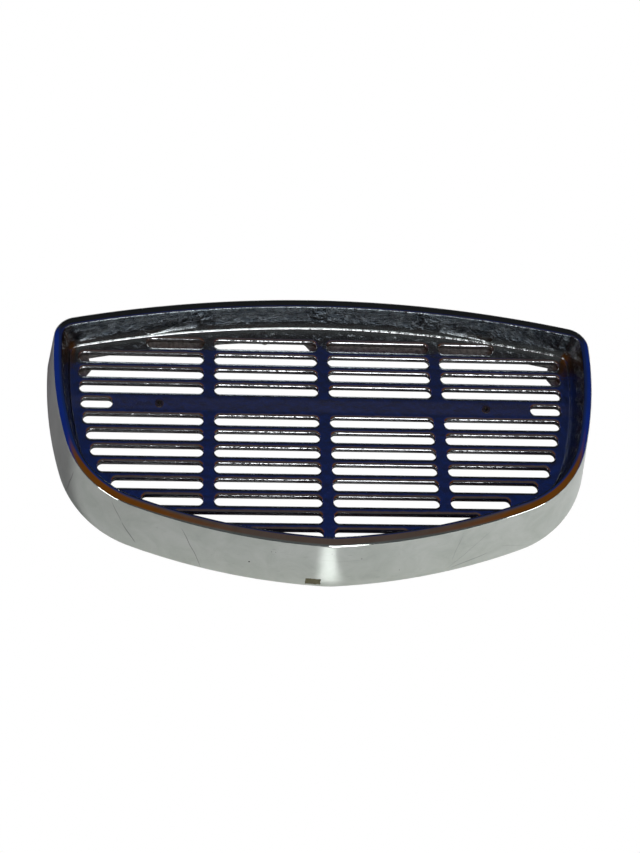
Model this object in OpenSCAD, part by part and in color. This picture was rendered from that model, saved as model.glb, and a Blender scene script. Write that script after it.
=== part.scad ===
// Nose grille of a small car: a die-cast surround with a slotted insert, and the fixings that hold them.
// X runs across the face, Y up the face towards its arched edge, +Z out of the face.
// Z = 0 is the skirt's back edge, which sits on the car's nose panel.

/* [Face outline] */
// Width of the face across the outer edge of the lip
face_w = 340; // [300:1:380]
// Radius of the soft point at the middle of the lower edge
nose_r = 60; // [40:1:80]
// Angle at which the soft point hands over to the lower edge, in degrees
nose_turn = 3.7; // [3:0.1:5]
// Radius of each half of the lower edge
lower_r = 386; // [340:1:430]
// Angle at which the lower edge hands over to the lower corner, in degrees
lower_turn = 21.3; // [18:0.1:24]
// Radius of the lower corners
lower_corner_r = 67.4; // [55:0.1:75]
// Angle below level at which the lower corner hands over to the side, in degrees
side_start = 16.6; // [14:0.1:19]
// Radius of the sides
side_r = 254.6; // [220:0.1:280]
// Angle above level at which the side hands over to the upper corner, in degrees
side_end = 0.4; // [0.2:0.1:2]
// Radius of the upper corners
upper_corner_r = 14.8; // [13:0.1:18]
// Radius of the arched upper edge
arch_r = 721; // [650:1:800]

/* [Surround] */
// Height of the lip's outer edge above the skirt's back edge
lip_z = 37.6; // [34:0.1:42]
// Rise of the lip's crest, near its inner edge, above its outer edge
lip_crown = 2.2; // [1.5:0.1:2.6]
// How far the skirt spreads out at its back edge, along the sides and the arch
skirt_flare = 6; // [4:0.1:7]
// How far the skirt spreads out at its back edge, along the bottom
skirt_flare_low = 8.2; // [4:0.1:9]
// Wall thickness of the casting
wall_t = 2.5; // [2:0.1:2.8]
// Width of the lip across the sides
lip_w = 5.4; // [5:0.1:6.5]
// Width of the lip across the top
lip_w_top = 7; // [6:0.1:7.2]
// Width of the lip across the bottom
lip_w_low = 6.1; // [5:0.1:6.5]
// Distance from the lip's outer edge to the foot of the inner wall, at the sides and bottom
foot_in = 9; // [8.8:0.1:9.6]
// Distance from the lip's outer edge to the foot of the inner wall, at the top
foot_in_top = 7.7; // [7.5:0.1:8.4]
// Distance from the lip's outer edge to the inner edge of the ledge that carries the insert
ledge_in = 14.3; // [14:0.1:14.6]
// Height of the ledge's straight upper edge, behind the uppermost row of slots
ledge_top_y = 66.3; // [65:0.1:68]
// Left end of the part of the ledge that is cut back behind the uppermost row of slots
ledge_open_from = -70; // [-78:1:-68]
// Right end of that part
ledge_open_to = -10; // [-12:1:-2]
// Thickness of the ledge that carries the insert
ledge_t = 2.5; // [2:0.1:3]

/* [Insert] */
// Height of the insert's front face above the skirt's back edge
insert_z = 16; // [15:0.1:18]
// Thickness of the insert
insert_t = 4.3; // [4:0.1:5]
// Gap between the insert and the inner wall
insert_gap = 0.15; // [0.1:0.05:0.3]
// Distance from one row of slots to the next
row_pitch = 11.3; // [11:0.1:11.4]
// Number of rows, counting the plain band as one
row_count = 13; // [13:1:13]
// Height of the lower edge of the uppermost row
row_top_y = 64.6; // [63.5:0.1:65]
// Row that is left plain as the badge band, counted from 0 at the top
band_row = 4; // [3:1:5]
// Height of a slot
slot_h = 6.4; // [6:0.1:7.2]
// Distance from one upright rib to the next
rib_pitch = 72.9; // [70:0.1:75]
// Width of an upright rib between the slots' ends
rib_w = 6.6; // [6:0.1:8]
// Distance from the lip's outer edge to the slots' ends, at the sides and bottom
slot_in = 14.7; // [14.5:0.1:16]
// Distance from the lip's outer edge to the slots' edge, at the top
slot_in_top = 9.5; // [9.3:0.1:12]
// Distance from the lip's outer edge to the slots' ends, in the lowest rows
slot_in_low = 10.4; // [10:0.1:12]
// First row, counted from 0 at the top, whose slots run on past the outer ribs
open_row = 11; // [11:1:12]
// Inner end of the short slot at each end of the badge band
band_half_w = 133; // [120:1:138]

/* [Fixings] */
// Distance between the two badge sleeves
badge_pitch = 208; // [180:1:220]
// Distance between the body fixings, across the face
body_fix_x = 220; // [200:1:230]
// Height of the upper body fixings
body_fix_top_y = 75.5; // [74.5:0.5:76]
// Height of the lower body fixings
body_fix_low_y = -59; // [-60:0.5:-56]
// Thread core radius of a body fixing
body_thread_r = 2.1; // [2.1:0.1:2.5]

/* [Hidden] */
$fn = 40;
eps = 0.01;

// The right half of the lip's outer edge is a chain of six tangent arcs, from the bottom to the top.
// Each arc's centre follows from the last one: at the join both circles share one normal.
RAW_R = [nose_r, lower_r, lower_corner_r, side_r, upper_corner_r, arch_r];
JOIN = [-90 + nose_turn, -90 + lower_turn, -side_start, side_end];
function dir(a) = [cos(a), sin(a)];
function next_centre(c, k) = c + (RAW_R[k] - RAW_R[k + 1]) * dir(JOIN[k]);
C0 = [0, 0];
C1 = next_centre(C0, 0);
C2 = next_centre(C1, 1);
C3 = next_centre(C2, 2);
C4 = next_centre(C3, 3);
// The arch is centred on the middle line, which sets the last join
arch_join = 90 - asin(C4[0] / (arch_r - upper_corner_r));
C5 = C4 + (upper_corner_r - arch_r) * dir(arch_join);
RAW_C = [C0, C1, C2, C3, C4, C5];
FROM = [-90, JOIN[0], JOIN[1], JOIN[2], JOIN[3], arch_join];
TO = [JOIN[0], JOIN[1], JOIN[2], JOIN[3], arch_join, 90];
// The raw chain is scaled to the face's width, and placed so that the skirt's back edge is centred on Y = 0
k_face = face_w / 2 / (C3[0] + side_r);
mid_y = (C5[1] + arch_r - nose_r) / 2;
shift_y = (skirt_flare_low - skirt_flare) / 2;
ARC_R = [for (r = RAW_R) r * k_face];
ARC_C = [for (c = RAW_C) [c[0], c[1] - mid_y] * k_face + [0, shift_y]];
// Facets along each arc
STEPS = [2, 13, 13, 7, 9, 12];

// [arc, angle] of every corner of the right half, from the bottom middle to the top middle
RIGHT = [for (k = [0 : 5]) for (i = [0 : STEPS[k] - 1])
         [k, FROM[k] + (TO[k] - FROM[k]) * i / STEPS[k]]];
// A distance inwards that blends from its side value to its top or bottom value
function inward(d, a) = let (s = sin(a)) d[0] + (s > 0 ? d[1] - d[0] : d[2] - d[0]) * s * s;
function edge_point(k, a, d) = ARC_C[k] + (ARC_R[k] - inward(d, a)) * dir(a);
function flip(p) = [-p[0], p[1]];
// The closed outline at distance d = [side, top, bottom] inside the lip's outer edge, anticlockwise
function outline(d) = let (half = [for (e = RIGHT) edge_point(e[0], e[1], d)], n = len(half))
    concat(half, [edge_point(5, 90, d)], [for (i = [n - 1 : -1 : 1]) flip(half[i])]);

// Half-width of the face at height y and distance d inside the lip's outer edge
function arc_x(k, y, d) = let (r = ARC_R[k] - d, h = y - ARC_C[k][1])
    abs(h) > r ? -1 : ARC_C[k][0] + sqrt(r * r - h * h);
function on_arc(k, x, y) = let (a = atan2(y - ARC_C[k][1], x - ARC_C[k][0])) a >= FROM[k] && a <= TO[k];
function half_width(y, d) = max([for (k = [0 : 5]) let (x = arc_x(k, y, d)) on_arc(k, x, y) ? x : 0]);

// Distances inwards at [side, top, bottom]
BACK = [-skirt_flare, -skirt_flare, -skirt_flare_low];
LIP = [lip_w, lip_w_top, lip_w_low];
FOOT = [foot_in, foot_in_top, foot_in];
LEDGE = [ledge_in, ledge_in, ledge_in];
function plus(d, t) = [d[0] + t, d[1] + t, d[2] + t];
function mix(d, e, t) = d * (1 - t) + e * t;
insert_back_z = insert_z - insert_t;
ledge_back_z = insert_back_z - ledge_t;
// The hollow's roof follows the lip, which rises inwards
roof_in_z = lip_z - 0.3 * wall_t;
roof_out_z = lip_z - 1.4 * wall_t;
EDGE = [0, 0, 0];

// Section of the surround: up the skirt's outside, over the lip, down the inner wall, round the ledge
// and back through the channel behind the lip. Each corner is [distances inwards, height], and the
// ledge's corners add the height on the face at which they run straight across.
SECTION = [
    [BACK, 0],
    [mix(BACK, EDGE, 0.5), lip_z / 2],
    [EDGE, lip_z],
    [mix(EDGE, LIP, 0.08), lip_z + 0.3 * lip_crown],
    [mix(EDGE, LIP, 0.3), lip_z + 0.62 * lip_crown],
    [mix(EDGE, LIP, 0.6), lip_z + 0.9 * lip_crown],
    [mix(EDGE, LIP, 0.85), lip_z + lip_crown],
    [LIP, lip_z + 0.8 * lip_crown],
    [FOOT, insert_z],
    [FOOT, insert_back_z],
    [LEDGE, insert_back_z, ledge_top_y],
    [LEDGE, ledge_back_z, ledge_top_y],
    [plus(FOOT, -wall_t), ledge_back_z],
    [plus(LIP, -0.6 * wall_t), roof_in_z],
    [plus(mix(BACK, EDGE, roof_out_z / lip_z), wall_t), roof_out_z],
    [plus(BACK, wall_t), 0]
];

// Rows of slots
function row_y(k) = row_top_y - k * row_pitch + slot_h / 2;
end_r = slot_h / 2;
function slot_reach(y) = min(half_width(y, slot_in + end_r), half_width(y, slot_in_top + end_r)) + end_r;
function top_reach(y) = half_width(y, slot_in_top + end_r) + end_r;
function low_reach(y) = half_width(y, slot_in_low + end_r) + end_r;
function row_reach(k) = k == 0 ? top_reach(row_y(0))
    : k < open_row ? slot_reach(row_y(k))
    : low_reach(row_y(k));

// Places of the insert's screws: [x, y], on the right half, each mirrored to the left
screw_in = 11.8;
screw_top_y = 76.5;
SCREW_Y = [47, -11, -62.6];
SCREW_RIGHT = [
    [rib_pitch / 2, screw_top_y],
    for (y = SCREW_Y) [half_width(y, screw_in), y]
];
SCREWS = [for (s = [-1, 1]) for (p = SCREW_RIGHT) [s * p[0], p[1]]];
screw_core_r = 1.25;
screw_hole_r = 1.6;
screw_depth = 3.2;
screw_head_r = 2.6;
screw_head_h = 1.8;
washer_t = 0.7;

// Webs in the ledge's upper corners: the three corners of a web's inner edge, from the top down
WEB_EDGE = [[151.5, ledge_top_y + 1], [147.5, 50], [151.5, 44]];
web_set = 0.2;

// Lugs on the skirt's inside that carry the clip nuts
lug_w = 16;
lug_t = 2.5;
lug_z = 1.4;
lug_reach = 7.5;
lug_root = 18;
lug_hole_r = 3.4;
leaf_t = 0.6;
leaf_w = 12;
leaf_len = 13;
nut_r = 3.8;
nut_h = 2.6;
BODY_FIX = [[-1, 1], [1, 1], [-1, -1], [1, -1]];
function fix_y(up) = up > 0 ? body_fix_top_y : body_fix_low_y;

// Badge sleeves
sleeve_r = 2;
sleeve_bore_r = 1.25;
sleeve_rim_r = 2.7;
sleeve_rim_t = 0.5;
sleeve_tail = 1.2;
hole_clear = 0.05;

// The ledge's upper edge runs straight across, apart from the part that is cut back to follow the arch
function cut_back(x) = x > ledge_open_from && x < ledge_open_to;
function ledge_y(p, top) = top == undef || cut_back(p[0]) ? p[1] : min(p[1], top);

// A ring that carries SECTION all round the outline, as one closed skin
module section_ring() {
    rings = [for (s = SECTION) [for (p = outline(s[0])) [p[0], ledge_y(p, s[2]), s[1]]]];
    n = len(rings[0]);
    m = len(SECTION);
    points = [for (r = rings) for (p = r) p];
    faces = [for (j = [0 : m - 1]) for (i = [0 : n - 1])
             let (a = j * n + i, b = j * n + (i + 1) % n,
                  c = (j + 1) % m * n + i, d = (j + 1) % m * n + (i + 1) % n)
             each [[a, c, b], [b, c, d]]];
    polyhedron(points, faces, convexity = 10);
}

// One lug, drawn at its own fixing's origin with the skirt towards +Y. It is cut off inside the skirt wall.
module lug() {
    translate([-lug_w / 2, -lug_reach, lug_z])
        cube([lug_w, lug_reach + lug_root, lug_t]);
}

// A web in each upper corner of the ledge, just inside its thickness. Its outer edge is in the wall.
module corner_web() {
    translate([0, 0, ledge_back_z + web_set])
        linear_extrude(ledge_t - 2 * web_set)
            intersection() {
                polygon([each WEB_EDGE, for (p = [WEB_EDGE[2], WEB_EDGE[0]]) [face_w / 2, p[1]]]);
                polygon(outline(plus(FOOT, -wall_t / 2)));
            }
}

module at_body_fixing(side, up) {
    translate([side * body_fix_x / 2, fix_y(up), 0])
        mirror([0, up > 0 ? 0 : 1, 0])
            children();
}

module surround() {
    color("silver")
    difference() {
        union() {
            section_ring();
            corner_web();
            mirror([1, 0, 0]) corner_web();
            intersection() {
                for (f = BODY_FIX)
                    at_body_fixing(f[0], f[1])
                        lug();
                linear_extrude(lip_z)
                    polygon(outline(plus(BACK, wall_t / 2)));
            }
        }
        for (p = SCREWS)
            translate([p[0], p[1], ledge_back_z - 1])
                cylinder(r = screw_hole_r, h = ledge_t + 2);
        for (f = BODY_FIX)
            at_body_fixing(f[0], f[1])
                translate([0, 0, lug_z - 1])
                    cylinder(r = lug_hole_r, h = lug_t + 2);
    }
}

// A slot from x0 to x1 with round ends, centred on height y
module slot(x0, x1, y) {
    translate([x0 + end_r, y - end_r])
        square([x1 - x0 - 2 * end_r, slot_h]);
    for (x = [x0 + end_r, x1 - end_r])
        translate([x, y])
            circle(r = end_r);
}

// The slots of row k on the right half: the bays between the ribs, and the bay beyond the last one.
// The lowest rows have one bay on each side of the middle rib.
module row_of_slots(k) {
    y = row_y(k);
    reach = row_reach(k);
    bays = k == band_row ? [[band_half_w, reach]]
         : k >= open_row ? [[rib_w / 2, reach]]
         : [for (b = [0, 1]) [b * rib_pitch + rib_w / 2, b == 0 ? min(reach, rib_pitch - rib_w / 2) : reach]];
    for (bay = bays)
        if (bay[1] - bay[0] > slot_h)
            slot(bay[0], bay[1], y);
}

module grille_insert() {
    color("lightsteelblue")
    difference() {
        translate([0, 0, insert_back_z])
            linear_extrude(insert_t)
                difference() {
                    polygon(outline(plus(FOOT, insert_gap)));
                    for (k = [0 : row_count - 1])
                        for (side = [0, 1])
                            mirror([side, 0])
                                row_of_slots(k);
                }
        for (p = SCREWS)
            translate([p[0], p[1], insert_back_z - 1])
                cylinder(r = screw_core_r, h = screw_depth + 1);
        for (s = [-1, 1])
            translate([s * badge_pitch / 2, row_y(band_row), insert_back_z - 1])
                cylinder(r = sleeve_r + hole_clear, h = insert_t + 2);
    }
}

// Pan-head screw with its head towards -Z, its washer face at z = 0
module pan_screw() {
    translate([0, 0, -screw_head_h])
        cylinder(r = screw_head_r, h = screw_head_h);
    cylinder(r = screw_core_r - hole_clear, h = washer_t + ledge_t + screw_depth - 0.4);
}

module insert_screws() {
    color("gray")
    for (p = SCREWS)
        translate([p[0], p[1], ledge_back_z - washer_t])
            difference() {
                pan_screw();
                translate([-screw_head_r, -0.4, -screw_head_h - 1])
                    cube([2 * screw_head_r, 0.8, 1.9]);
            }
}

module insert_spring_washers() {
    color("dimgray")
    for (p = SCREWS)
        translate([p[0], p[1], ledge_back_z - washer_t])
            difference() {
                cylinder(r = screw_head_r - 0.1, h = washer_t);
                translate([0, 0, -1])
                    cylinder(r = screw_hole_r - 0.1, h = washer_t + 2);
                translate([0, -0.25, -1])
                    cube([screw_head_r + 1, 0.5, washer_t + 2]);
            }
}

// Folded spring nut: two leaves either side of a lug, joined past its free edge
module clip_nut() {
    low_z = lug_z - leaf_t;
    high_z = lug_z + lug_t;
    bend_y = -lug_reach - 0.2 - leaf_t;
    difference() {
        union() {
            for (z = [low_z, high_z])
                translate([-leaf_w / 2, bend_y, z])
                    cube([leaf_w, leaf_len, leaf_t]);
            translate([-leaf_w / 2, bend_y, low_z])
                cube([leaf_w, leaf_t, high_z + leaf_t - low_z]);
            translate([0, 0, high_z])
                cylinder(r = nut_r, h = leaf_t + nut_h);
        }
        translate([0, 0, high_z - eps])
            cylinder(r = body_thread_r, h = leaf_t + nut_h + 1);
        translate([0, 0, low_z - 1])
            cylinder(r = body_thread_r + 0.6, h = leaf_t + 1 + eps);
    }
}

module clip_nut_upper_left() {
    color("goldenrod") at_body_fixing(-1, 1) clip_nut();
}

module clip_nut_upper_right() {
    color("goldenrod") at_body_fixing(1, 1) clip_nut();
}

module clip_nut_lower_left() {
    color("goldenrod") at_body_fixing(-1, -1) clip_nut();
}

module clip_nut_lower_right() {
    color("goldenrod") at_body_fixing(1, -1) clip_nut();
}

// Tubular push-in sleeve with a thin rim on the front of the badge band
module badge_sleeve(side) {
    translate([side * badge_pitch / 2, row_y(band_row), 0])
        difference() {
            union() {
                translate([0, 0, insert_back_z - sleeve_tail])
                    cylinder(r = sleeve_r, h = insert_t + sleeve_tail + eps);
                translate([0, 0, insert_z])
                    cylinder(r = sleeve_rim_r, h = sleeve_rim_t);
            }
            translate([0, 0, insert_back_z - sleeve_tail - 1])
                cylinder(r = sleeve_bore_r, h = insert_t + sleeve_tail + sleeve_rim_t + 2);
        }
}

module badge_sleeve_left() {
    color("darkkhaki") badge_sleeve(-1);
}

module badge_sleeve_right() {
    color("darkkhaki") badge_sleeve(1);
}

surround();
grille_insert();
insert_screws();
insert_spring_washers();
clip_nut_upper_left();
clip_nut_upper_right();
clip_nut_lower_left();
clip_nut_lower_right();
badge_sleeve_left();
badge_sleeve_right();
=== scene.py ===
import math

import bmesh
import bpy
import numpy as np
from mathutils import Matrix, Vector
from mathutils.geometry import delaunay_2d_cdt


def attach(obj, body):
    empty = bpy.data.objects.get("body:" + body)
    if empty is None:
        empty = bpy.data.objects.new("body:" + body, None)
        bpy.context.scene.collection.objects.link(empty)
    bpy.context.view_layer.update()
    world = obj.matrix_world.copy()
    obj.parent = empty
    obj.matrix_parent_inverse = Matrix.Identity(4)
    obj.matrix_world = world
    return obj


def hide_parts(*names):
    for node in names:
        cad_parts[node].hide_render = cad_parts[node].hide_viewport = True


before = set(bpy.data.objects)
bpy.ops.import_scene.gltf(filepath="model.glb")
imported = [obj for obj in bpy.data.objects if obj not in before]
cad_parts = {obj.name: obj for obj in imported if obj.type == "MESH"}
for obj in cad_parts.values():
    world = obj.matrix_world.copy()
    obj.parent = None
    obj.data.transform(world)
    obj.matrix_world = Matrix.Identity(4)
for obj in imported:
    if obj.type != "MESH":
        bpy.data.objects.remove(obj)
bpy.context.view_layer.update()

# ---------------------------------------------------------------- surround casting
# The surround is one zinc pressure die casting: a sloping skirt, a rounded lip, the inner wall of the
# recess and a ledge behind it that carries the insert. It is polished outside, copper and nickel
# plated and then chromed; the rear is left as cast under a thin flash of plating.

# Radii of the six arcs of half the lip's outer edge, from the soft point to the arch, and the angles
# in degrees where the first five join; the outline is then scaled to the face's half width
ARC_RADII = np.array([60.0, 386.0, 67.4, 254.6, 14.8, 721.0])
ARC_JOINS = np.array([-86.3, -68.7, -16.6, 0.4])
FACE_HALF = 0.170
SKIRT_FLARE, SKIRT_FLARE_LOW = 0.0060, 0.0082
LIP_HEIGHT, LIP_CROWN = 0.0376, 0.0022
WALL = 0.0025
LIP_IN = np.array([0.0054, 0.0070, 0.0061])
FOOT_IN = np.array([0.0090, 0.0077, 0.0090])
LEDGE_IN = np.array([0.0143, 0.0143, 0.0143])
LEDGE_TOP_Y = 0.0663
LEDGE_OPEN_FROM, LEDGE_OPEN_TO, LEDGE_RAMP = -0.0680, -0.0120, 0.0060
LEDGE_FRONT, LEDGE_BACK = 0.0117, 0.0092
INSERT_FRONT = 0.0160
WEB_EDGE_X, WEB_EDGE_Y = [0.1515, 0.1475, 0.1515], [0.0440, 0.0500, LEDGE_TOP_Y + 0.001]
LUG_W, LUG_REACH, LUG_ROOT = 0.0160, 0.0075, 0.0100
LUG_LOW, LUG_THICK, LUG_HOLE_R = 0.0014, 0.0025, 0.0034
FIXING_X, FIXING_TOP_Y, FIXING_LOW_Y = 0.110, 0.0755, -0.0590


def lip_arcs():
    """Centres, radii, start and end angles of the six tangent arcs that make the right half of the
    lip's outer edge. Where two arcs join they share a normal, so each centre is the last one moved
    along that normal by the difference of the radii. The last arc is centred on the middle line."""
    radius, join = ARC_RADII, np.radians(ARC_JOINS)
    step = (radius[:4] - radius[1:5])[:, None] * np.stack([np.cos(join), np.sin(join)], 1)
    centre = np.concatenate([np.zeros((1, 2)), np.cumsum(step, axis=0)])
    last = math.pi / 2 - math.asin(centre[4, 0] / (radius[5] - radius[4]))
    arch = centre[4] + (radius[4] - radius[5]) * np.array([math.cos(last), math.sin(last)])
    centre = np.vstack([centre, arch])
    scale = FACE_HALF / (centre[3, 0] + radius[3])
    middle = (centre[5, 1] + radius[5] - radius[0]) / 2
    centre = (centre - [0.0, middle]) * scale + [0.0, (SKIRT_FLARE_LOW - SKIRT_FLARE) / 2]
    ends = np.concatenate([[-math.pi / 2], join, [last, math.pi / 2]])
    return centre, radius * scale, ends[:-1], ends[1:]


def around(depth, steps=(6, 44, 50, 26, 26, 48)):
    """Closed outlines at the given depths inside the lip's outer edge, one for each row of depth,
    which holds the depth at the side, top and bottom. A point is its arc's centre plus the radius
    less the depth, along its angle; the depth blends with the square of the angle's sine."""
    centre, radius, first, last = lip_arcs()
    arc = np.repeat(np.arange(6), steps)
    share = np.concatenate([np.arange(s) / s for s in steps])
    angle = first[arc] + (last - first)[arc] * share
    arc, angle = np.append(arc, 5), np.append(angle, math.pi / 2)
    depth = np.atleast_2d(depth)
    end = np.where(np.sin(angle) > 0, depth[:, 1:2], depth[:, 2:3])
    inwards = depth[:, 0:1] + (end - depth[:, 0:1]) * np.sin(angle) ** 2
    reach = radius[arc] - inwards
    right = np.stack([centre[arc, 0] + reach * np.cos(angle), centre[arc, 1] + reach * np.sin(angle)], 2)
    left = right[:, -2:0:-1] * [-1.0, 1.0]
    return np.concatenate([right, left], axis=1)


def half_width(y, depth):
    """Half of the face's width at height y, at one depth inside the lip's outer edge: the outline
    at that depth, read off where it crosses the height on its right half."""
    line = around([depth, depth, depth])[0]
    right = line[: len(line) // 2 + 1]
    climb = np.maximum.accumulate(right[:, 1])
    return np.interp(y, climb, right[:, 0])


def rounded_section(corners, radius, arc_steps=5, run_steps=3):
    """A closed section with its corners rounded. Each corner becomes a quadratic curve from a point
    short of it to a point past it, and each straight run between two curves is cut in equal parts.
    A row of corners is [depth at side, depth at top, depth at bottom, height, ledge share]."""
    before, after = np.roll(corners, 1, axis=0), np.roll(corners, -1, axis=0)
    span = lambda a: np.hypot(a[:, 1] - corners[:, 1], a[:, 3] - corners[:, 3])
    cut = lambda a: np.minimum(0.47, radius / span(a))[:, None]
    start = corners + (before - corners) * cut(before)
    finish = corners + (after - corners) * cut(after)
    s = np.linspace(0, 1, arc_steps + 1)[None, :, None]
    curve = (1 - s) ** 2 * start[:, None] + 2 * s * (1 - s) * corners[:, None] + s * s * finish[:, None]
    onward = np.roll(start, -1, axis=0)
    t = (np.arange(1, run_steps) / run_steps)[None, :, None]
    run = finish[:, None] * (1 - t) + onward[:, None] * t
    return np.concatenate([curve, run], axis=1).reshape(-1, corners.shape[1])


def quads(rows, columns, closed_rows=True, closed_columns=True):
    """Faces of a grid of points numbered row by row, as four numbers each, joined round at its ends
    where it is closed."""
    r = np.arange(rows if closed_rows else rows - 1)[:, None]
    c = np.arange(columns if closed_columns else columns - 1)[None, :]
    r2, c2 = (r + 1) % rows, (c + 1) % columns
    here, there = r * columns, r2 * columns
    return np.stack([here + c, here + c2, there + c2, there + c], 2).reshape(-1, 4)


def mesh_piece(name, points, faces, weld=0.0):
    """A mesh object at the origin from arrays of points and faces, smooth shaded, with coincident
    points welded where a distance is given."""
    mesh = bpy.data.meshes.new(name)
    mesh.from_pydata(points.tolist(), [], faces.tolist() if isinstance(faces, np.ndarray) else faces)
    if weld:
        work = bmesh.new()
        work.from_mesh(mesh)
        bmesh.ops.remove_doubles(work, verts=work.verts, dist=weld)
        work.to_mesh(mesh)
        work.free()
    mesh.polygons.foreach_set("use_smooth", np.ones(len(mesh.polygons), bool))
    mesh.update()
    piece = bpy.data.objects.new(name, mesh)
    bpy.context.scene.collection.objects.link(piece)
    return piece


def surround_section():
    """Corners of the surround's section and their rounding: up the skirt, over the lip, down the
    inner wall, round the ledge and back through the hollow behind the lip."""
    back = np.array([-SKIRT_FLARE, -SKIRT_FLARE, -SKIRT_FLARE_LOW])
    z = LIP_HEIGHT
    roof_in, roof_out = z - 0.3 * WALL, z - 1.4 * WALL
    rows = [
        (back, 0.0, 0, 0.0005),
        (back * 0.5, z / 2, 0, 0.0030),
        (back * 0.0, z, 0, 0.0006),
        (LIP_IN * 0.08, z + 0.30 * LIP_CROWN, 0, 0.0010),
        (LIP_IN * 0.30, z + 0.62 * LIP_CROWN, 0, 0.0015),
        (LIP_IN * 0.60, z + 0.90 * LIP_CROWN, 0, 0.0015),
        (LIP_IN * 0.85, z + 0.99 * LIP_CROWN, 0, 0.0006),
        (LIP_IN, z + 0.88 * LIP_CROWN, 0, 0.0008),
        (FOOT_IN, INSERT_FRONT, 0, 0.0003),
        (FOOT_IN, LEDGE_FRONT, 0, 0.0002),
        (LEDGE_IN, LEDGE_FRONT, 1, 0.0005),
        (LEDGE_IN, LEDGE_BACK, 1, 0.0005),
        (FOOT_IN - WALL, LEDGE_BACK, 0, 0.0010),
        (LIP_IN - 0.6 * WALL, roof_in, 0, 0.0012),
        (back * (1 - roof_out / z) + WALL, roof_out, 0, 0.0012),
        (back + WALL, 0.0, 0, 0.0005),
    ]
    corners = np.array([[*depth, height, ledge] for depth, height, ledge, _ in rows])
    return rounded_section(corners, np.array([r[3] for r in rows]))


section = surround_section()
outlines = around(section[:, :3])
height = np.broadcast_to(section[:, 3:4], outlines.shape[:2])
# The ledge's upper edge is straight, apart from the part that is cut back to follow the arch
from_middle = np.abs(outlines[:, :, 0] - (LEDGE_OPEN_FROM + LEDGE_OPEN_TO) / 2)
straight = np.clip((from_middle - (LEDGE_OPEN_TO - LEDGE_OPEN_FROM) / 2) / LEDGE_RAMP, 0.0, 1.0)
over = np.maximum(outlines[:, :, 1] - LEDGE_TOP_Y, 0.0) * section[:, 4:5] * straight
ring = np.stack([outlines[:, :, 0], outlines[:, :, 1] - over, height], axis=2)
ring_points, ring_faces = ring.reshape(-1, 3), quads(*ring.shape[:2])
# The inner wall runs from the lip's inner edge to its foot, and everything past that is the rear
corner_of_row = np.arange(len(section)) // (len(section) // 16)
ring_wall = np.repeat((corner_of_row == 7).astype(np.float32), ring.shape[1])
ring_rear = np.repeat((corner_of_row >= 9).astype(np.float32), ring.shape[1])


def skirt_gap(x, at, up):
    """Distance from a fixing to the middle of the skirt's wall, straight up or down the face, at the
    distances x to its side."""
    line = around(np.array([-SKIRT_FLARE, -SKIRT_FLARE, -SKIRT_FLARE_LOW]) + WALL / 2)[0]
    line = line[line[:, 1] * up > 0.02]
    line = line[np.argsort(line[:, 0])]
    return (np.interp(at[0] + x, line[:, 0], line[:, 1]) - at[1]) * up


def plate_with_hole(width, reach, root, low, thick, hole_r, at, up, segments=48):
    """A flat lug with a round hole: square outlines and circles on one set of angles, carried round
    the lug's section from the top of the hole, over the top, down the edge and back underneath. The
    part towards the skirt is stretched so that its end follows the skirt's wall."""
    angle = np.arange(segments) / segments * 2 * math.pi + math.pi / segments
    u = np.stack([np.cos(angle), np.sin(angle)], 1)
    middle = np.array([0.0, (root - reach) / 2])
    half = np.array([width / 2, (root + reach) / 2])
    # A ray from the hole's centre meets the lug's edge where it first reaches a side
    with np.errstate(divide="ignore"):
        t = ((np.sign(u) * half + middle) / u).min(axis=1)
    edge = u * t[:, None]
    edge[:, 1] *= np.where(edge[:, 1] > 0, skirt_gap(edge[:, 0], at, up) / root, 1.0)
    hole = u * hole_r
    e = 0.0003
    shrink = edge * (1 - e / np.linalg.norm(edge, axis=1, keepdims=True))
    layers = [(hole, low + thick), (shrink, low + thick), (edge, low + thick - e),
              (edge, low + e), (shrink, low), (hole, low)]
    points = np.array([np.column_stack([p, np.full(len(p), z)]) for p, z in layers])
    points[:, :, 1] *= up
    points[:, :, :2] += at
    faces = quads(len(layers), segments)
    return points.reshape(-1, 3), faces if up < 0 else faces[:, ::-1]


lugs = [plate_with_hole(LUG_W, LUG_REACH, LUG_ROOT, LUG_LOW, LUG_THICK, LUG_HOLE_R, (x, y), up)
        for x in (-FIXING_X, FIXING_X) for y, up in ((FIXING_TOP_Y, 1), (FIXING_LOW_Y, -1))]


def corner_web(side, rows=12):
    """A flat web across one upper corner of the ledge: a strip from its inner edge, which has one
    bend, to the middle of the wall, at even heights up to where the two meet under the arch."""
    edge = lambda y: np.interp(y, WEB_EDGE_Y, WEB_EDGE_X)
    wall = lambda y: half_width(y, FOOT_IN[0] - WALL / 2)
    heights = np.linspace(WEB_EDGE_Y[0], LEDGE_TOP_Y, 400)
    y = np.linspace(WEB_EDGE_Y[0], heights[wall(heights) > edge(heights) + 0.0002][-1], rows)
    outline = np.concatenate([np.column_stack([edge(y), y])[::-1], np.column_stack([wall(y), y])])
    count = len(outline)
    points = np.concatenate([np.column_stack([outline, np.full(count, z)])
                             for z in (LEDGE_BACK + 0.0002, LEDGE_FRONT - 0.0002)])
    points[:, 0] *= side
    k = np.arange(rows - 1)
    below = np.stack([count - 1 - k, count - 2 - k, k + 1, k], 1)
    faces = np.concatenate([quads(2, count, closed_rows=False), below, below[:, ::-1] + count])
    return points, faces if side > 0 else faces[:, ::-1]


parts = [(ring_points, ring_faces)] + lugs + [corner_web(1), corner_web(-1)]
starts = np.cumsum([0] + [len(p) for p, _ in parts[:-1]])
surround = mesh_piece("surround_casting",
                      np.concatenate([p for p, _ in parts]),
                      np.concatenate([f + s for (_, f), s in zip(parts, starts)]))
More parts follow.
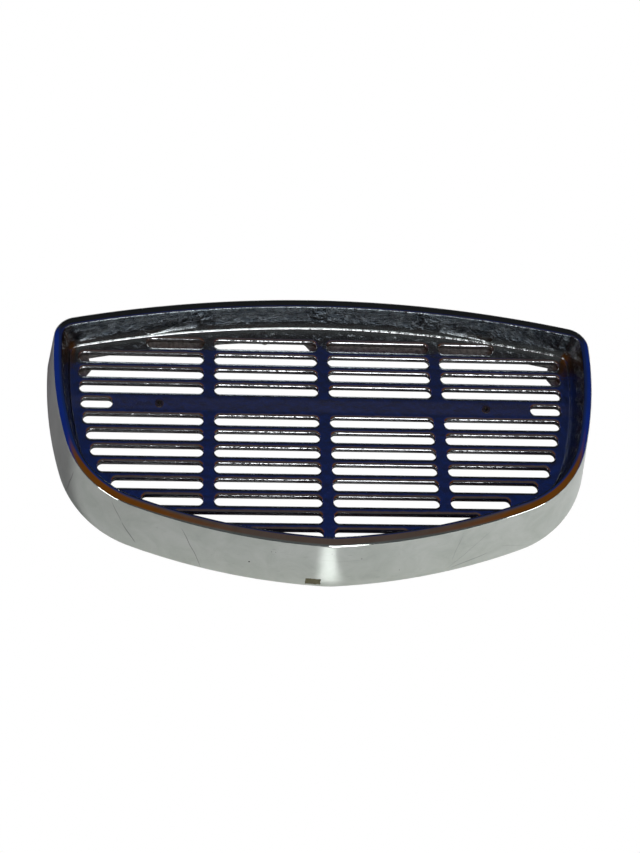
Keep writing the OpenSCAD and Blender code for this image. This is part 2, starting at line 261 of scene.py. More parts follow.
# The two webs come last, and their edges are sharp
smooth = np.arange(len(surround.data.polygons)) < len(surround.data.polygons) - 2 * len(parts[-1][1])
surround.data.polygons.foreach_set("use_smooth", smooth)
for label, on_ring, elsewhere in (("rear", ring_rear, 1.0), ("wall", ring_wall, 0.0)):
    value = np.full(len(surround.data.vertices), elsewhere, np.float32)
    value[:len(on_ring)] = on_ring
    surround.data.attributes.new(label, "FLOAT", "POINT").data.foreach_set("value", value)


def shader_node(tree, kind, values=None, **settings):
    """One node with its settings, and its inputs either linked or set to a number."""
    made = tree.nodes.new(kind)
    for key, value in settings.items():
        setattr(made, key, value)
    for key, value in (values or {}).items():
        if isinstance(value, bpy.types.NodeSocket):
            tree.links.new(value, made.inputs[key])
        else:
            made.inputs[key].default_value = value
    return made


def maths(tree, operation, *values, clamp=False):
    """A Math node's result."""
    return shader_node(tree, "ShaderNodeMath", dict(enumerate(values)), operation=operation,
                       use_clamp=clamp).outputs[0]


def band(tree, value, low, high):
    """A value stretched so that low gives 0 and high gives 1, held between the two."""
    return shader_node(tree, "ShaderNodeMapRange", {"Value": value, "From Min": low, "From Max": high},
                       clamp=True).outputs["Result"]


def blend(tree, share, first, second):
    """Two colours mixed by a share."""
    made = shader_node(tree, "ShaderNodeMix", {0: share}, data_type="RGBA")
    for socket, value in ((made.inputs[6], first), (made.inputs[7], second)):
        if isinstance(value, bpy.types.NodeSocket):
            tree.links.new(value, socket)
        else:
            socket.default_value = value
    return made.outputs[2]


def metal(name):
    """A new metal material, its node tree and its shader node."""
    made = bpy.data.materials.new(name)
    made.use_nodes = True
    shader = made.node_tree.nodes["Principled BSDF"]
    shader.inputs["Metallic"].default_value = 1.0
    return made, made.node_tree, shader


def effect(name, inputs, outputs):
    """An empty shader node group with named inputs and outputs, and its two end nodes."""
    tree = bpy.data.node_groups.new(name, "ShaderNodeTree")
    for label, kind, value in inputs:
        socket = tree.interface.new_socket(name=label, in_out="INPUT", socket_type=kind)
        if value is not None:
            socket.default_value = value
    for label, kind in outputs:
        tree.interface.new_socket(name=label, in_out="OUTPUT", socket_type=kind)
    return tree, tree.nodes.new("NodeGroupInput"), tree.nodes.new("NodeGroupOutput")


def noise(tree, at, scale, detail, roughness=0.5):
    """A noise texture node."""
    return shader_node(tree, "ShaderNodeTexNoise",
                       {"Vector": at, "Scale": scale, "Detail": detail, "Roughness": roughness})


def plating_wear():
    """Effect group for old plating: soft waves left by the polishing, cloudy haze, fine hairlines
    and small dark pits."""
    tree, given, result = effect(
        "plating_wear",
        [("Vector", "NodeSocketVector", None), ("Wave Size", "NodeSocketFloat", 0.02),
         ("Haze Size", "NodeSocketFloat", 0.01), ("Pit Spread", "NodeSocketFloat", 0.02)],
        [("Waves", "NodeSocketFloat"), ("Haze", "NodeSocketFloat"), ("Hairlines", "NodeSocketFloat"),
         ("Pits", "NodeSocketFloat")])
    at = given.outputs["Vector"]
    wave_scale = maths(tree, "DIVIDE", 1.0, given.outputs["Wave Size"])
    waves = shader_node(tree, "ShaderNodeTexNoise", {"Vector": at, "Scale": wave_scale, "Detail": 2.0,
                                                      "Roughness": 0.45})
    haze_scale = maths(tree, "DIVIDE", 1.0, given.outputs["Haze Size"])
    haze = shader_node(tree, "ShaderNodeTexNoise", {"Vector": at, "Scale": haze_scale, "Detail": 5.0,
                                                     "Roughness": 0.6, "Distortion": 0.6})
    turned = shader_node(tree, "ShaderNodeMapping", {"Vector": at, "Rotation": (0.3, 0.5, 0.9),
                                                      "Scale": (60.0, 1500.0, 1500.0)})
    lines = noise(tree, turned.outputs[0], 1.0, 2.0)
    spots = shader_node(tree, "ShaderNodeTexVoronoi",
                        {"Vector": at, "Scale": maths(tree, "DIVIDE", 1.0, given.outputs["Pit Spread"])})
    chosen = shader_node(tree, "ShaderNodeSeparateColor", {0: spots.outputs["Color"]})
    size = maths(tree, "MULTIPLY", band(tree, chosen.outputs[0], 0.5, 1.0), 0.035)
    pit = maths(tree, "LESS_THAN", spots.outputs["Distance"], size)
    for label, value in (("Waves", waves.outputs["Fac"]),
                         ("Haze", band(tree, haze.outputs["Fac"], 0.35, 0.75)),
                         ("Hairlines", band(tree, lines.outputs["Fac"], 0.66, 0.74)), ("Pits", pit)):
        tree.links.new(value, result.inputs[label])
    return tree


wear = plating_wear()


def scratch_line():
    """Effect group for one long scratch: a mask of the points near a straight line between two
    places, with its course bent a little by a soft noise and its width tapering at the ends."""
    tree, given, result = effect(
        "scratch_line",
        [("Vector", "NodeSocketVector", None), ("From", "NodeSocketVector", None),
         ("To", "NodeSocketVector", None), ("Width", "NodeSocketFloat", 0.0003),
         ("Bend", "NodeSocketFloat", 0.002)],
        [("Mask", "NodeSocketFloat")])

    def vector(operation, *values):
        return shader_node(tree, "ShaderNodeVectorMath", dict(enumerate(values)), operation=operation)

    # The skirt's own depth counts for little, so that a straight scratch lies on its curve
    weigh = (1.0, 0.3, 1.0)
    place, first, last = (vector("MULTIPLY", given.outputs[label], weigh).outputs[0]
                          for label in ("Vector", "From", "To"))
    drift = noise(tree, given.outputs["Vector"], 45.0, 1.0)
    shift = vector("MULTIPLY_ADD", drift.outputs["Color"], (1.0, 0.0, 1.0), (-0.5, 0.0, -0.5)).outputs[0]
    scaled = shader_node(tree, "ShaderNodeVectorMath", {0: shift, 3: given.outputs["Bend"]},
                         operation="SCALE")
    at = vector("ADD", place, scaled.outputs[0]).outputs[0]
    start = vector("SUBTRACT", at, first).outputs[0]
    line = vector("SUBTRACT", last, first).outputs[0]
    along = maths(tree, "DIVIDE", vector("DOT_PRODUCT", start, line).outputs["Value"],
                  vector("DOT_PRODUCT", line, line).outputs["Value"], clamp=True)
    foot = shader_node(tree, "ShaderNodeVectorMath", {0: line, 3: along}, operation="SCALE").outputs[0]
    away = vector("DISTANCE", start, foot).outputs["Value"]
    taper = maths(tree, "SQRT", maths(tree, "MULTIPLY", maths(tree, "MULTIPLY", along, 4.0),
                                      maths(tree, "SUBTRACT", 1.0, along)))
    # Never quite zero: a scratch of no width would divide by zero beyond its ends
    wide = maths(tree, "MAXIMUM", maths(tree, "MULTIPLY", given.outputs["Width"], taper), 1e-5)
    mask = maths(tree, "SUBTRACT", 1.0, maths(tree, "DIVIDE", away, wide), clamp=True)
    tree.links.new(mask, result.inputs["Mask"])
    return tree


scratch = scratch_line()


# Scratches on the skirt, to the nearest half millimetre: where each starts and ends, across the face
# and up the skirt, then its half-width and bend in metres and its depth. The last five are pits.
SCRATCHES = [
    ((-154.0, 28.5), (-160.5, 0.0), 0.00045, 0.004, 0.7),
    ((-130.5, 34.0), (-125.5, 19.5), 0.00040, 0.003, 0.6),
    ((-125.5, 19.5), (-116.5, 5.5), 0.00050, 0.003, 0.8),
    ((-89.0, 32.5), (-77.5, 0.0), 0.00045, 0.004, 0.7),
    ((97.0, 30.5), (72.0, 2.5), 0.00035, 0.003, 0.45),
    ((78.5, 33.0), (74.5, 11.0), 0.00030, 0.003, 0.35),
    ((98.0, 9.0), (75.0, 3.0), 0.00050, 0.002, 0.7),
    ((106.0, 11.5), (127.0, 2.0), 0.00030, 0.002, 0.4),
    ((-7.0, 24.5), (17.5, 24.5), 0.00030, 0.004, 0.45),
    ((-36.5, 28.0), (-36.0, 28.0), 0.00055, 0.0, 0.9),
    ((-34.0, 28.0), (-33.5, 28.0), 0.00050, 0.0, 0.9),
    ((-1.0, 31.5), (-0.5, 31.5), 0.00050, 0.0, 0.9),
    ((17.0, 25.5), (18.0, 25.5), 0.00055, 0.0, 0.9),
    ((42.0, 10.5), (42.5, 10.5), 0.00060, 0.0, 0.9)]
# Where the plating has come off at the skirt's back edge, near the soft point
CHIP_MIDDLE, CHIP_HALF = (-0.0100, -0.0930, 0.0044), (0.0046, 0.0060, 0.0026)


def skirt_point(across, up):
    """The point on the skirt's lower half at a place across the face and a height, given in
    millimetres: its depth is read off the skirt's outline at that height."""
    x, z = across / 1000, up / 1000
    line = around(np.array([-SKIRT_FLARE, -SKIRT_FLARE, -SKIRT_FLARE_LOW]) * (1 - z / LIP_HEIGHT))[0]
    line = line[line[:, 1] < 0]
    line = line[np.argsort(line[:, 0])]
    return x, float(np.interp(x, line[:, 0], line[:, 1])), z


def chrome_plate():
    """Polished chrome over a die casting, slightly hazed, with hairlines and pits outside, painted shade in a
    darker mottle on the recess's inner wall, and a duller grey flash over the cast grain on the rear."""
    made, tree, shader = metal("chrome_plate")
    place = shader_node(tree, "ShaderNodeTexCoord").outputs["Object"]
    worn = shader_node(tree, "ShaderNodeGroup", {}, node_tree=wear)
    tree.links.new(place, worn.inputs["Vector"])
    worn.inputs["Wave Size"].default_value = 0.022
    worn.inputs["Haze Size"].default_value = 0.016
    worn.inputs["Pit Spread"].default_value = 0.016
    behind = shader_node(tree, "ShaderNodeAttribute", attribute_name="rear").outputs["Fac"]
    inside = shader_node(tree, "ShaderNodeAttribute", attribute_name="wall").outputs["Fac"]
    ripple = noise(tree, place, 210.0, 3.0, 0.6)
    grain = noise(tree, place, 420.0, 4.0, 0.7)
    polished = blend(tree, worn.outputs["Haze"], (0.63, 0.65, 0.63, 1), (0.50, 0.53, 0.50, 1))
    hairlines = maths(tree, "MULTIPLY", worn.outputs["Hairlines"], 0.35)
    polished = blend(tree, hairlines, polished, (0.30, 0.32, 0.31, 1))
    polished = blend(tree, worn.outputs["Pits"], polished, (0.05, 0.05, 0.045, 1))
    scored = 0.0
    for start, finish, width, bend, depth in SCRATCHES:
        line = shader_node(tree, "ShaderNodeGroup", {}, node_tree=scratch)
        tree.links.new(place, line.inputs["Vector"])
        line.inputs["From"].default_value = skirt_point(*start)
        line.inputs["To"].default_value = skirt_point(*finish)
        line.inputs["Width"].default_value, line.inputs["Bend"].default_value = width, bend
        scored = maths(tree, "MAXIMUM", scored, maths(tree, "MULTIPLY", line.outputs["Mask"], depth))
    polished = blend(tree, scored, polished, (0.07, 0.075, 0.07, 1))
    from_chip = shader_node(tree, "ShaderNodeVectorMath", {0: place, 1: CHIP_MIDDLE},
                            operation="SUBTRACT").outputs[0]
    from_chip = shader_node(tree, "ShaderNodeSeparateXYZ", {0: from_chip}).outputs
    uneven = noise(tree, place, 500.0, 2.0).outputs["Fac"]
    chip = 1.0
    for axis, half in zip("XYZ", CHIP_HALF):
        off = maths(tree, "ABSOLUTE", from_chip[axis])
        off = maths(tree, "MULTIPLY_ADD", uneven, 0.0016, off)
        chip = maths(tree, "MULTIPLY", chip, band(tree, off, half + 0.0009, half + 0.0007))
    bare = blend(tree, uneven, (0.030, 0.027, 0.010, 1), (0.110, 0.100, 0.045, 1))
    polished = blend(tree, chip, polished, bare)
    cast = blend(tree, band(tree, grain.outputs["Fac"], 0.3, 0.7),
                 (0.20, 0.21, 0.22, 1), (0.62, 0.63, 0.63, 1))
    # Painted shade: the recess's inner wall gets a much darker, mottled colour than the polished chrome, standing
    # in for the shade inside the recess
    darker_mottle = blend(tree, band(tree, ripple.outputs["Fac"], 0.35, 0.7),
                    (0.08, 0.10, 0.12, 1), (0.26, 0.29, 0.31, 1))
    polished = blend(tree, inside, polished, darker_mottle)
    tree.links.new(blend(tree, behind, polished, cast), shader.inputs["Base Color"])
    gloss = maths(tree, "MULTIPLY_ADD", worn.outputs["Haze"], 0.05, 0.045)
    gloss = maths(tree, "MULTIPLY_ADD", inside, 0.10, gloss)
    gloss = maths(tree, "MULTIPLY_ADD", worn.outputs["Pits"], 0.5, gloss)
    gloss = maths(tree, "MULTIPLY_ADD", chip, 0.5, gloss)
    dull = maths(tree, "MULTIPLY_ADD", grain.outputs["Fac"], 0.3, 0.2)
    bloom = maths(tree, "MULTIPLY", behind, band(tree, grain.outputs["Fac"], 0.2, 0.8))
    bloom = maths(tree, "MAXIMUM", bloom, chip)
    tree.links.new(maths(tree, "SUBTRACT", 1.0, bloom), shader.inputs["Metallic"])
    rough = shader_node(tree, "ShaderNodeMix", {0: behind, 2: gloss, 3: dull}, data_type="FLOAT").outputs[0]
    tree.links.new(rough, shader.inputs["Roughness"])
    waves = maths(tree, "MULTIPLY", worn.outputs["Waves"], 0.00012)
    lines = maths(tree, "MULTIPLY", worn.outputs["Hairlines"], -0.0000015)
    pits = maths(tree, "MULTIPLY", worn.outputs["Pits"], -0.00006)
    cast_grain = maths(tree, "MULTIPLY", maths(tree, "MULTIPLY", grain.outputs["Fac"], behind), 0.0003)
    ripples = maths(tree, "MULTIPLY", maths(tree, "MULTIPLY", ripple.outputs["Fac"], inside), 0.0007)
    total = maths(tree, "ADD", maths(tree, "ADD", waves, lines), maths(tree, "ADD", pits, cast_grain))
    total = maths(tree, "ADD", total, ripples)
    bump = shader_node(tree, "ShaderNodeBump", {"Strength": 1.0, "Distance": 1.0, "Height": total})
    tree.links.new(bump.outputs[0], shader.inputs["Normal"])
    return made


surround.data.materials.append(chrome_plate())
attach(surround, "root")
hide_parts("surround")

# ---------------------------------------------------------------- slotted insert
# The insert is a second, flat die casting: thirteen rows of long slots with round ends between
# upright ribs, one row left plain as a badge band. Casting leaves soft edges round every slot.

INSERT_BACK = 0.0117
ROWS, ROW_PITCH, ROW_TOP_Y, SLOT_H = 13, 0.0113, 0.0646, 0.0064
RIB_PITCH, RIB_W = 0.0729, 0.0066
SLOT_IN, SLOT_IN_TOP, SLOT_IN_LOW = 0.0147, 0.0095, 0.0104
BAND_ROW, BAND_HALF, OPEN_ROW = 4, 0.133, 11
BADGE_X, BADGE_HOLE_R = 0.104, 0.00205


def slot_list():
    """Rows of [left end, right end, height] for every slot. Each row's slots stop a set distance
    inside the lip, a bay too short for its round ends is left solid, and the lowest rows run on past
    the outer ribs."""
    end = SLOT_H / 2
    row = np.arange(ROWS)
    y = ROW_TOP_Y - row * ROW_PITCH + end
    top = half_width(y, SLOT_IN_TOP + end) + end
    low = half_width(y, SLOT_IN_LOW + end) + end
    reach = np.where(row == 0, top, np.minimum(top, half_width(y, SLOT_IN + end) + end))
    reach = np.where(row >= OPEN_ROW, low, reach)
    stop = np.where(row >= OPEN_ROW, reach, np.minimum(reach, RIB_PITCH - RIB_W / 2))
    inner = np.column_stack([np.full(ROWS, RIB_W / 2), stop, y])
    outer = np.column_stack([np.full(ROWS, RIB_PITCH + RIB_W / 2), np.where(row >= OPEN_ROW, 0.0, reach), y])
    short = np.array([[BAND_HALF, reach[BAND_ROW], y[BAND_ROW]]])
    plain = row == BAND_ROW
    right = np.concatenate([inner[~plain], outer[~plain], short])
    right = right[right[:, 1] - right[:, 0] > SLOT_H]
    left = np.column_stack([-right[:, 1], -right[:, 0], right[:, 2]])
    return np.concatenate([right, left])


def slot_walls(anchors, normals, radius, height):
    """Walls of openings: each ring of a wall is the openings' anchor points moved outwards along the
    normals by the ring's radius, at the ring's height. Both are given for opening, ring and point."""
    flat = anchors[:, None] + radius[..., None] * normals[None, None]
    points = np.concatenate([flat, height[..., None]], axis=3)
    count, rings, around_n = points.shape[:3]
    faces = quads(rings, around_n, closed_rows=False)
    faces = (faces[None] + (np.arange(count) * rings * around_n)[:, None, None]).reshape(-1, 4)
    return points, faces


slots = slot_list()
end_r = SLOT_H / 2
turn = np.linspace(-math.pi / 2, math.pi / 2, 13)
side_share = np.linspace(0, 1, 8)[1:-1]
# One trip round a slot: right end, upper side, left end, lower side
slot_normals = np.concatenate([
    np.stack([np.cos(turn), np.sin(turn)], 1), np.tile([0.0, 1.0], (6, 1)),
    np.stack([-np.cos(turn), -np.sin(turn)], 1), np.tile([0.0, -1.0], (6, 1))])
share_right = np.concatenate([np.ones(13), 1 - side_share, np.zeros(13), side_share])
x_left, x_right = slots[:, 0:1] + end_r, slots[:, 1:2] - end_r
anchor_x = x_left + (x_right - x_left) * share_right
anchors = np.stack([anchor_x, np.broadcast_to(slots[:, 2:3], anchor_x.shape)], 2)

# The outer edge: up the side from the back, then a small cove that runs down on to the flat face
gap = FOOT_IN + 0.00015
edge_rows = [(0.0003, INSERT_BACK), (0.0, INSERT_BACK + 0.0003), (0.0, INSERT_FRONT + 0.0005)]
cove = np.radians(np.linspace(0, 90, 6))
edge_rows += [(0.00005 + 0.0005 * (1 - math.cos(c)), INSERT_FRONT + 0.0005 * (1 - math.sin(c))) for c in cove]
edge_rows += [(0.00065, INSERT_FRONT)]
edge_flat = around(np.array([gap + d for d, _ in edge_rows]))
edge_z = np.broadcast_to(np.array([z for _, z in edge_rows])[:, None, None], edge_flat.shape[:2] + (1,))
edge_points = np.concatenate([edge_flat, edge_z], 2)
edge_faces = quads(*edge_points.shape[:2], closed_rows=False)

# The bars are rounded off towards each slot in a quarter ellipse, as wide as the room to the edge
# of the insert lets it be, and half as deep
slot_edge = anchors + end_r * slot_normals
room = np.linalg.norm(slot_edge[:, :, None] - edge_flat[-1][None, None], axis=3).min(axis=2)
widest = 0.0008 + 0.0014 * slot_normals[:, 1] ** 2
ease = np.clip(room - 0.0003, 0.0002, widest)[:, None, :]
quarter = np.radians(np.linspace(0, 90, 10))[None, :, None]
ones = np.ones((len(slots), 1, len(slot_normals)))
slot_radius = np.concatenate([end_r + ease + 0.00012 * ones, end_r + ease * (1 - np.sin(quarter))]
                             + [(end_r + out) * ones for out in (0.00003, 0.0001, 0.0004, 0.0005)], axis=1)
slot_height = np.concatenate([INSERT_FRONT * ones, INSERT_FRONT - 0.55 * ease * (1 - np.cos(quarter))]
                             + [(INSERT_BACK + up) * ones for up in (0.0012, 0.0003, 0.0, 0.0)], axis=1)
slot_points, slot_faces = slot_walls(anchors, slot_normals, slot_radius, slot_height)

spin = np.arange(32) / 32 * 2 * math.pi
hole_normals = np.stack([np.cos(spin), np.sin(spin)], 1)
band_y = ROW_TOP_Y - BAND_ROW * ROW_PITCH + end_r
hole_anchors = np.broadcast_to(np.array([[[BADGE_X, band_y]], [[-BADGE_X, band_y]]]), (2, 32, 2))
hole_radius = BADGE_HOLE_R + np.array([0.0003, 0.0, 0.0, 0.0003])
hole_height = np.array([INSERT_FRONT, INSERT_FRONT, INSERT_BACK, INSERT_BACK])
hole_shape = (2, len(hole_radius), len(spin))
hole_points, hole_faces = slot_walls(hole_anchors, hole_normals,
                                     np.broadcast_to(hole_radius[None, :, None], hole_shape),
                                     np.broadcast_to(hole_height[None, :, None], hole_shape))


def flat_face(outer, openings, z, faces_up):
    """The flat between the outer edge and the openings: a triangulation of all their points with
    the outlines as fixed loops, less the triangles that lie inside any loop but the outer one."""
    loops = [outer] + openings
    points = np.concatenate(loops)
    first = np.cumsum([0] + [len(l) for l in loops[:-1]])
    inside = [list(range(s, s + len(l))) for l, s in zip(loops, first)]
    found = delaunay_2d_cdt([Vector(p) for p in points.tolist()], [], inside, 1, 1e-9)
    made = np.array([v[:] for v in found[0]])
    triangles = np.array([t for t, loop in zip(found[2], found[5]) if list(loop) == [0]])
    a, b, c = made[triangles].transpose(1, 0, 2)
    flip = (np.cross(b - a, c - a) > 0) != faces_up
    triangles[flip] = triangles[flip][:, ::-1]
    return np.column_stack([made, np.full(len(made), z)]), triangles


front_points, front_faces = flat_face(
    edge_flat[-1], [*slot_points[:, 0, :, :2], *hole_points[:, 0, :, :2]], INSERT_FRONT, True)
back_points, back_faces = flat_face(
    edge_flat[0], [*slot_points[:, -1, :, :2], *hole_points[:, -1, :, :2]], INSERT_BACK, False)
insert_parts = [(slot_points.reshape(-1, 3), slot_faces), (hole_points.reshape(-1, 3), hole_faces),
                (edge_points.reshape(-1, 3), edge_faces),
                (front_points, front_faces), (back_points, back_faces)]
starts = np.cumsum([0] + [len(p) for p, _ in insert_parts[:-1]])
insert = mesh_piece("slotted_insert", np.concatenate([p for p, _ in insert_parts]),
                    [face for (_, f), s in zip(insert_parts, starts) for face in (f + s).tolist()], weld=2e-6)


def chrome_plate_insert():
    """Chrome on the insert: the same plating over a rougher casting, so that its reflections break up along the
    bars, with grey haze, and painted shade that darkens the walls of the slots and holes towards the back."""
    made, tree, shader = metal("chrome_plate_insert")
    place = shader_node(tree, "ShaderNodeTexCoord").outputs["Object"]
    worn = shader_node(tree, "ShaderNodeGroup", {}, node_tree=wear)
    tree.links.new(place, worn.inputs["Vector"])
    worn.inputs["Wave Size"].default_value = 0.005
    worn.inputs["Haze Size"].default_value = 0.004
    worn.inputs["Pit Spread"].default_value = 0.006
    parts_of = shader_node(tree, "ShaderNodeSeparateXYZ", {0: place}).outputs
    level, high = parts_of["Y"], parts_of["Z"]
    # Painted shade: the walls of the slots and holes turn dark grey, and rougher, towards the insert's back face
    deep = band(tree, high, INSERT_FRONT - 0.001, INSERT_BACK)
    colour = blend(tree, worn.outputs["Haze"], (0.52, 0.53, 0.55, 1), (0.36, 0.37, 0.39, 1))
    colour = blend(tree, worn.outputs["Pits"], colour, (0.06, 0.06, 0.06, 1))
    # The painted shade deep in the openings
    colour = blend(tree, deep, colour, (0.14, 0.14, 0.15, 1))
    tree.links.new(colour, shader.inputs["Base Color"])
    gloss = maths(tree, "MULTIPLY_ADD", worn.outputs["Haze"], 0.14, 0.10)
    # The plain badge band carries a thin film, so it is a little less metallic
    on_band = band(tree, maths(tree, "ABSOLUTE", maths(tree, "SUBTRACT", level, band_y)), 0.0055, 0.0035)
    film = maths(tree, "MULTIPLY_ADD", on_band, -0.08, 0.99)
    tree.links.new(maths(tree, "MULTIPLY_ADD", worn.outputs["Haze"], -0.03, film), shader.inputs["Metallic"])
    gloss = maths(tree, "MULTIPLY_ADD", deep, 0.2, gloss)
    tree.links.new(gloss, shader.inputs["Roughness"])
    waves = maths(tree, "MULTIPLY", worn.outputs["Waves"], 0.0003)
    pits = maths(tree, "MULTIPLY", worn.outputs["Pits"], -0.00005)
    bump = shader_node(tree, "ShaderNodeBump",
                       {"Strength": 1.0, "Distance": 1.0, "Height": maths(tree, "ADD", waves, pits)})
    tree.links.new(bump.outputs[0], shader.inputs["Normal"])
    return made


insert.data.materials.append(chrome_plate_insert())
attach(insert, "root")
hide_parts("grille_insert")

# ---------------------------------------------------------------- screws and spring washers
# Eight slotted pan-head screws with split washers hold the insert against the ledge from behind.
# Both are turned or stamped steel, zinc plated and gone slightly cloudy.


def zinc_plated_steel():
    """Zinc plate on steel: a cool grey with cloudy patches and a fine turned grain."""
    made, tree, shader = metal("zinc_plated_steel")
    place = shader_node(tree, "ShaderNodeTexCoord").outputs["Object"]
    cloud = noise(tree, place, 700.0, 4.0, 0.6)
    patch = band(tree, cloud.outputs["Fac"], 0.35, 0.7)
    colour = blend(tree, patch, (0.60, 0.62, 0.66, 1), (0.34, 0.35, 0.36, 1))
    tree.links.new(colour, shader.inputs["Base Color"])
    tree.links.new(maths(tree, "MULTIPLY_ADD", patch, 0.25, 0.28), shader.inputs["Roughness"])
    grain = maths(tree, "MULTIPLY", cloud.outputs["Fac"], 0.00005)
    bump = shader_node(tree, "ShaderNodeBump", {"Strength": 1.0, "Distance": 1.0, "Height": grain})
    tree.links.new(bump.outputs[0], shader.inputs["Normal"])
    return made


zinc = zinc_plated_steel()


def refinish(node, material):
    """Puts one material in all of a carried-over node's slots."""
    slots_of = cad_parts[node].data.materials
    slots_of.clear()
    slots_of.append(material)


refinish("insert_screws", zinc)
refinish("insert_spring_washers", zinc)

# ---------------------------------------------------------------- clip nuts
# Four spring nuts are pushed over the lugs behind the skirt. Each is folded from one strip of
# hardened steel with a drawn and tapped barrel, and blackened in oil.


def spring_steel():
    """Oil-blackened spring steel: near-black brown with worn brighter patches."""
    made, tree, shader = metal("spring_steel")
    place = shader_node(tree, "ShaderNodeTexCoord").outputs["Object"]
    worn = noise(tree, place, 300.0, 5.0, 0.65)
    bare = band(tree, worn.outputs["Fac"], 0.5, 0.72)
    colour = blend(tree, bare, (0.055, 0.050, 0.047, 1), (0.30, 0.27, 0.24, 1))
    tree.links.new(colour, shader.inputs["Base Color"])
    tree.links.new(maths(tree, "MULTIPLY_ADD", bare, -0.15, 0.5), shader.inputs["Roughness"])
    grain = maths(tree, "MULTIPLY", worn.outputs["Fac"], 0.00006)
    bump = shader_node(tree, "ShaderNodeBump", {"Strength": 1.0, "Distance": 1.0, "Height": grain})
    tree.links.new(bump.outputs[0], shader.inputs["Normal"])
    return made


blackened = spring_steel()
for corner in ("upper_left", "upper_right", "lower_left", "lower_right"):
    refinish("clip_nut_" + corner, blackened)

# ---------------------------------------------------------------- badge sleeves
# Two thin brass tubes pressed into the plain band take the badge's pins. Each is rolled over into a
# flat rim at the front, and has gone dull brown.


def dull_brass():
    """Old brass: brown-grey with darker tarnish in soft patches."""
    made, tree, shader = metal("dull_brass")
    place = shader_node(tree, "ShaderNodeTexCoord").outputs["Object"]
    darker_mottle = noise(tree, place, 900.0, 3.0)
    patch = band(tree, darker_mottle.outputs["Fac"], 0.35, 0.65)
    colour = blend(tree, patch, (0.42, 0.38, 0.30, 1), (0.12, 0.11, 0.10, 1))
    tree.links.new(colour, shader.inputs["Base Color"])
    tree.links.new(maths(tree, "MULTIPLY_ADD", patch, 0.2, 0.35), shader.inputs["Roughness"])
    return made


brass = dull_brass()
refinish("badge_sleeve_left", brass)
refinish("badge_sleeve_right", brass)

# ---------------------------------------------------------------- floor, light and camera
# A plain pale floor under the skirt's back edge, soft light from the front and both sides, and the
# camera above the face, looking down on it from the lower edge's side.


def plain_floor():
    """A large flat sheet at the skirt's back edge, white to look at and mid grey in reflections."""
    mesh = bpy.data.meshes.new("floor")
    half, z = 6.0, -0.0002
    mesh.from_pydata([(-half, -half, z), (half, -half, z), (half, half, z), (-half, half, z)], [], [(0, 1, 2, 3)])
    floor = bpy.data.objects.new("floor", mesh)
    bpy.context.scene.collection.objects.link(floor)
    made = bpy.data.materials.new("pale_floor")
    made.use_nodes = True
    tree = made.node_tree
    shader = tree.nodes["Principled BSDF"]
    shader.inputs["Base Color"].default_value = (0.62, 0.65, 0.63, 1)
    shader.inputs["Roughness"].default_value = 0.9
    seen = shader_node(tree, "ShaderNodeLightPath").outputs["Is Camera Ray"]
    white = shader_node(tree, "ShaderNodeEmission", {"Color": (1, 1, 1, 1), "Strength": 1.0})
    either = shader_node(tree, "ShaderNodeMixShader", {0: seen, 1: shader.outputs[0], 2: white.outputs[0]})
    tree.links.new(either.outputs[0], tree.nodes["Material Output"].inputs["Surface"])
    mesh.materials.append(made)
    return floor


floor_alone = bpy.data.collections.new("floor_alone")
floor_alone.objects.link(plain_floor())


def room_light():
    """Soft light from all round: navy overhead and deeper to each side, brown and amber patches near
    the top, near-black behind the arched edge, dim grey elsewhere, and plain white where the camera
    looks past the floor."""
    world = bpy.data.worlds.new("room")
    bpy.context.scene.world = world
    world.use_nodes = True
    tree = world.node_tree
    tree.nodes.clear()
    towards = shader_node(tree, "ShaderNodeTexCoord").outputs["Generated"]

    def zone(direction, start, full):
        near = shader_node(tree, "ShaderNodeVectorMath", {0: towards, 1: Vector(direction).normalized()},
                           operation="DOT_PRODUCT").outputs["Value"]
        return band(tree, near, math.cos(math.radians(start)), math.cos(math.radians(full)))

    grey, navy, deep_navy = (0.105, 0.113, 0.115, 1), (0.010, 0.026, 0.130, 1), (0.008, 0.026, 0.210, 1)
    brown, amber = (0.100, 0.070, 0.060, 1), (0.16, 0.052, 0.007, 1)
    colour = blend(tree, zone((0.12, 0.45, 0.88), 52, 38), grey, navy)
    colour = blend(tree, zone((-0.80, 0.45, 0.40), 32, 22), colour, deep_navy)
    colour = blend(tree, zone((0.85, 0.45, 0.28), 30, 20), colour, deep_navy)
    colour = blend(tree, zone((0.1, 0.95, 0.30), 48, 30), colour, (0.015, 0.016, 0.018, 1))
    colour = blend(tree, zone((0.10, -0.10, 0.98), 28, 16), colour, brown)
    colour = blend(tree, zone((-0.55, -0.15, 0.82), 30, 20), colour, amber)
    colour = blend(tree, zone((0.72, -0.12, 0.68), 30, 20), colour, amber)
    seen = shader_node(tree, "ShaderNodeLightPath").outputs["Is Camera Ray"]
    dim = shader_node(tree, "ShaderNodeBackground", {"Color": colour, "Strength": 1.0})
    white = shader_node(tree, "ShaderNodeBackground", {"Color": (1, 1, 1, 1), "Strength": 1.0})
    either = shader_node(tree, "ShaderNodeMixShader", {0: seen, 1: dim.outputs[0], 2: white.outputs[0]})
    out = shader_node(tree, "ShaderNodeOutputWorld")
    tree.links.new(either.outputs[0], out.inputs["Surface"])


room_light()


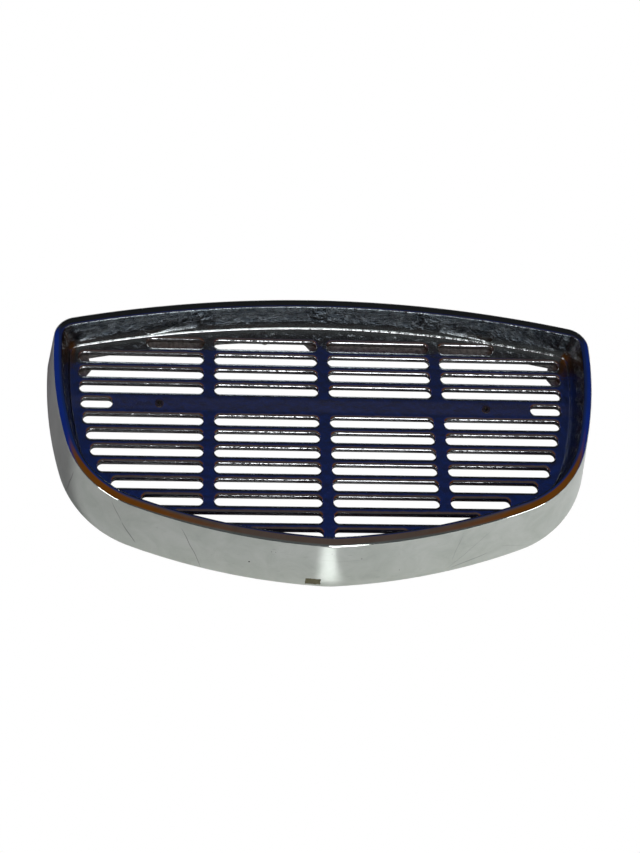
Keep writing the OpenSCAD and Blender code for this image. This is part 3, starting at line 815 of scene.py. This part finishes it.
def soft_lamp(name, place, aim, size, power, floor_only=False, spread=180):
    """One rectangular soft light that faces a point. A floor lamp isn't seen in the plating."""
    lamp = bpy.data.lights.new(name, "AREA")
    lamp.shape, lamp.size, lamp.size_y = "RECTANGLE", *size
    lamp.energy, lamp.spread = power, math.radians(spread)
    made = bpy.data.objects.new(name, lamp)
    made.location = place
    made.rotation_euler = (Vector(aim) - Vector(place)).to_track_quat("-Z", "Y").to_euler()
    made.visible_camera, made.visible_glossy = False, not floor_only
    if floor_only:
        made.light_linking.receiver_collection = floor_alone
    bpy.context.scene.collection.objects.link(made)


soft_lamp("front_lamp", (0.42, -2.4, 1.0), (0.0, 0.0, 0.0), (0.55, 1.8), 25.0)
soft_lamp("right_lamp", (1.9, -1.65, 0.35), (0.0, 0.0, 0.0), (0.7, 0.5), 10.0)
soft_lamp("left_lamp", (-1.9, -1.45, 0.45), (0.0, 0.0, 0.0), (0.7, 0.5), 10.0)
# These light only the floor: brighter to the right, faint behind, and a narrow pool at the soft point
soft_lamp("floor_lamp_right", (0.55, -0.45, 0.60), (0.0, -0.10, 0.0), (0.3, 0.3), 6.7, floor_only=True)
soft_lamp("floor_lamp_left", (-0.55, -0.45, 0.60), (0.0, -0.10, 0.0), (0.3, 0.3), 0.4, floor_only=True)
soft_lamp("floor_lamp_back", (0.0, 0.80, 0.60), (0.0, 0.30, 0.0), (0.3, 0.3), 0.3, floor_only=True)
soft_lamp("floor_pool", (0.001, -0.125, 0.060), (0.001, -0.125, 0.0), (0.014, 0.050), 0.0028,
          floor_only=True, spread=12)

bpy.context.scene.view_settings.view_transform = "Standard"

camera = bpy.data.objects.new("camera", bpy.data.cameras.new("camera"))
camera.data.lens, camera.data.sensor_width = 66.26, 36.0
camera.data.clip_start, camera.data.clip_end = 0.01, 50.0
forward = Vector((0.097248, 0.499924, -0.860593))
upwards = Vector((-0.017392, 0.865413, 0.500759))
sideways = forward.cross(upwards)
turned = Matrix((sideways, upwards, -forward)).transposed().to_4x4()
camera.matrix_world = Matrix.Translation((-0.0992, -0.4856, 0.8653)) @ turned
bpy.context.scene.collection.objects.link(camera)
bpy.context.scene.camera = camera
